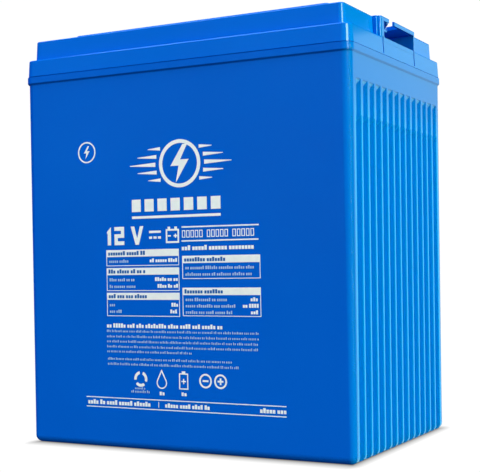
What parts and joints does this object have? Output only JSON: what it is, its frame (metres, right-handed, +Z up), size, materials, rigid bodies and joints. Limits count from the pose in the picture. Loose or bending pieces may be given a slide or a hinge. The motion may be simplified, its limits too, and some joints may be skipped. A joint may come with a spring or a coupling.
{
  "type": "deep cycle battery",
  "caption": "Blue sealed lead-acid battery: ribbed container, raised lid with end lifting pockets, vent cover, valves, plate groups and screw terminals in wells.",
  "frame": {"origin": "middle of the base, on the surface that the battery stands on", "axes": "+Z up and the longest extent, +X along the long side away from the terminals, the long face with the print looks towards -Y"},
  "size_m": [0.26, 0.181, 0.2955],
  "materials": {
    "case_blue": "glossy moulded polypropylene, solid blue",
    "lid_blue": "glossy moulded polypropylene, solid blue",
    "porous_disc": "sintered porous plastic",
    "black_rubber": "soft moulded rubber",
    "lead": "cast lead alloy, dull grey",
    "brass_insert": "machined",
    "red_resin": "poured resin ring, red",
    "black_resin": "poured resin ring, black",
    "bolt_steel": "stainless steel",
    "washer_steel": "stainless steel",
    "positive_plate": "pasted lead dioxide plates on a lead grid, dark brown",
    "negative_plate": "pasted spongy lead plates on a lead grid, grey",
    "glass_mat": "absorbent glass-fibre mat, white"
  },
  "bodies": {
    "battery": {"container": "case_blue", "lid": "lid_blue", "vent_cover_plate": "lid_blue", "flame_arrestor_discs": "porous_disc", "post_o_rings": "black_rubber", "intercell_connectors": "lead", "positive_terminal_post": "lead", "positive_terminal_insert": "brass_insert", "positive_terminal_seal": "red_resin", "negative_terminal_post": "lead", "negative_terminal_insert": "brass_insert", "negative_terminal_seal": "black_resin", "positive_plate_group_1": "positive_plate", "negative_plate_group_1": "negative_plate", "separator_pack_1": "glass_mat", "positive_plate_group_2": "positive_plate", "negative_plate_group_2": "negative_plate", "separator_pack_2": "glass_mat", "positive_plate_group_3": "positive_plate", "negative_plate_group_3": "negative_plate", "separator_pack_3": "glass_mat", "positive_plate_group_4": "positive_plate", "negative_plate_group_4": "negative_plate", "separator_pack_4": "glass_mat", "positive_plate_group_5": "positive_plate", "negative_plate_group_5": "negative_plate", "separator_pack_5": "glass_mat", "positive_plate_group_6": "positive_plate", "negative_plate_group_6": "negative_plate", "separator_pack_6": "glass_mat"},
    "valve_1": {"relief_valve_1": "black_rubber"},
    "valve_2": {"relief_valve_2": "black_rubber"},
    "valve_3": {"relief_valve_3": "black_rubber"},
    "valve_4": {"relief_valve_4": "black_rubber"},
    "valve_5": {"relief_valve_5": "black_rubber"},
    "valve_6": {"relief_valve_6": "black_rubber"},
    "positive_washers": {"positive_spring_washer": "washer_steel", "positive_flat_washer": "washer_steel"},
    "positive_bolt": {"positive_terminal_bolt": "bolt_steel"},
    "negative_washers": {"negative_spring_washer": "washer_steel", "negative_flat_washer": "washer_steel"},
    "negative_bolt": {"negative_terminal_bolt": "bolt_steel"}
  },
  "joints": [
    {"name": "relief_valve_1_lift", "type": "slide", "parent": "battery", "child": "valve_1", "axis": [0, 0, 1], "range_m": [0, 0.0008], "stiffness_N_per_m": 1000, "springref_m": -0.002},
    {"name": "relief_valve_2_lift", "type": "slide", "parent": "battery", "child": "valve_2", "axis": [0, 0, 1], "range_m": [0, 0.0008], "stiffness_N_per_m": 1000, "springref_m": -0.002},
    {"name": "relief_valve_3_lift", "type": "slide", "parent": "battery", "child": "valve_3", "axis": [0, 0, 1], "range_m": [0, 0.0008], "stiffness_N_per_m": 1000, "springref_m": -0.002},
    {"name": "relief_valve_4_lift", "type": "slide", "parent": "battery", "child": "valve_4", "axis": [0, 0, 1], "range_m": [0, 0.0008], "stiffness_N_per_m": 1000, "springref_m": -0.002},
    {"name": "relief_valve_5_lift", "type": "slide", "parent": "battery", "child": "valve_5", "axis": [0, 0, 1], "range_m": [0, 0.0008], "stiffness_N_per_m": 1000, "springref_m": -0.002},
    {"name": "relief_valve_6_lift", "type": "slide", "parent": "battery", "child": "valve_6", "axis": [0, 0, 1], "range_m": [0, 0.0008], "stiffness_N_per_m": 1000, "springref_m": -0.002},
    {"name": "positive_bolt_lift", "type": "slide", "parent": "battery", "child": "positive_washers", "axis": [0, 0, 1], "range_m": [0, 0.0025]},
    {"name": "positive_bolt_turn", "type": "hinge", "parent": "positive_washers", "child": "positive_bolt", "pos_m": [-0.105, -0.064, 0.2852], "axis": [0, 0, 1], "range_deg": [0, 720]},
    {"name": "negative_bolt_lift", "type": "slide", "parent": "battery", "child": "negative_washers", "axis": [0, 0, 1], "range_m": [0, 0.0025]},
    {"name": "negative_bolt_turn", "type": "hinge", "parent": "negative_washers", "child": "negative_bolt", "pos_m": [-0.105, 0.064, 0.2852], "axis": [0, 0, 1], "range_deg": [0, 720]}
  ],
  "couplings": [
    {"joint": "positive_bolt_lift", "follows": "positive_bolt_turn", "m_per_rad": 0.00019894},
    {"joint": "negative_bolt_lift", "follows": "negative_bolt_turn", "m_per_rad": 0.00019894}
  ]
}
